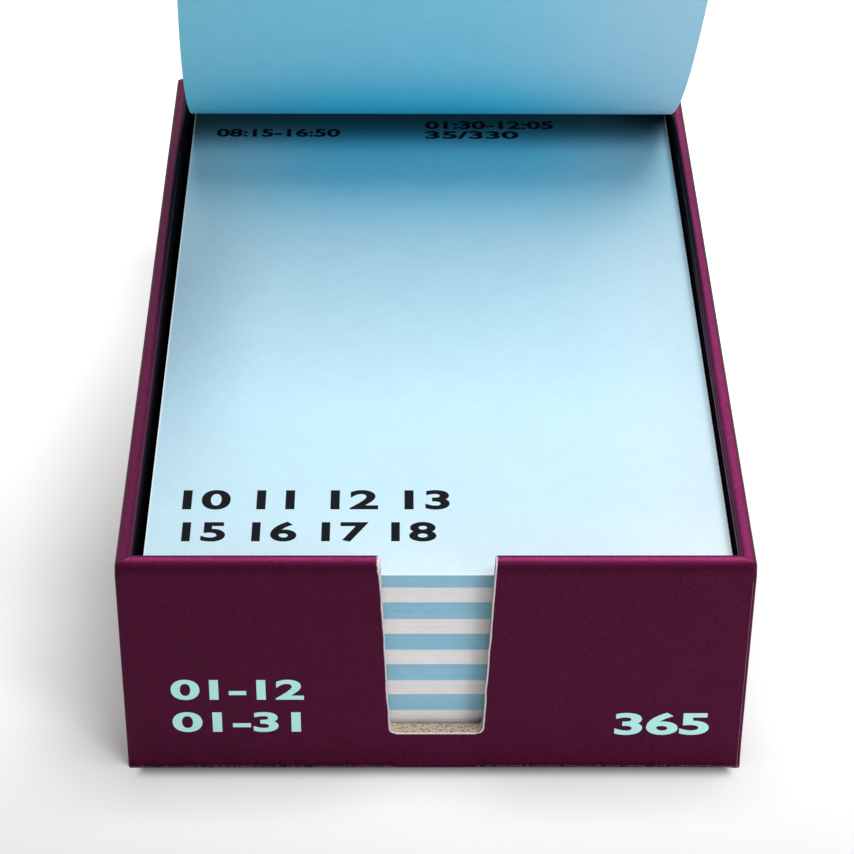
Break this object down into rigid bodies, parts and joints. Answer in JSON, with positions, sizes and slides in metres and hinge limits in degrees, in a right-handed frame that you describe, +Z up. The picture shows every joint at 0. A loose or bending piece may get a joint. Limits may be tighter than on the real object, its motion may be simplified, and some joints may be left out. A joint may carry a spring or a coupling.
{
  "type": "page-a-day diary block in an open box",
  "caption": "Open-topped rigid box with a thumb notch in its front wall, holding a block of blue and white tear-off diary leaves glued at the rear edge, with the top leaf turned up.",
  "frame": {"origin": "middle of the underside of the box, on the surface it stands on", "axes": "+Z up, -Y towards the front wall with the thumb notch, +X to the right seen from the front"},
  "size_m": [0.1177, 0.18, 0.1855],
  "materials": {
    "plum_cover": "satin",
    "greyboard": "matte",
    "stay_tape": "matte",
    "black_lining": "satin",
    "blue_paper": "matte",
    "white_paper": "matte",
    "padding_glue": "satin"
  },
  "bodies": {
    "box": {"base_board": "greyboard", "front_board": "greyboard", "rear_board": "greyboard", "left_board": "greyboard", "right_board": "greyboard", "corner_stay_front_left": "stay_tape", "corner_stay_front_right": "stay_tape", "corner_stay_rear_left": "stay_tape", "corner_stay_rear_right": "stay_tape", "cover_paper": "plum_cover", "base_sheet": "plum_cover", "wall_lining": "black_lining", "base_lining": "black_lining"},
    "block": {"backing_card": "greyboard", "binding_glue": "padding_glue", "leaf_section_01_blue": "blue_paper", "leaf_section_02_white": "white_paper", "leaf_section_03_blue": "blue_paper", "leaf_section_04_white": "white_paper", "leaf_section_05_blue": "blue_paper", "leaf_section_06_white": "white_paper", "leaf_section_07_blue": "blue_paper", "leaf_section_08_white": "white_paper", "leaf_section_09_blue": "blue_paper", "leaf_section_10_white": "white_paper", "leaf_section_11_blue": "blue_paper"},
    "current_leaf": {"current_leaf": "blue_paper"},
    "lifted_leaf": {"lifted_leaf": "blue_paper"}
  },
  "joints": [
    {"name": "block_lift", "type": "slide", "parent": "box", "child": "block", "axis": [0, 0, 1], "range_m": [0, 0.06]},
    {"name": "current_leaf_turn", "type": "hinge", "parent": "block", "child": "current_leaf", "pos_m": [0, 0.0853, 0.04295], "axis": [-1, 0, 0], "range_deg": [0, 35]},
    {"name": "lifted_leaf_turn", "type": "hinge", "parent": "current_leaf", "child": "lifted_leaf", "pos_m": [0, 0.0853, 0.04323], "axis": [-1, 0, 0], "range_deg": [-12, 40]}
  ]
}
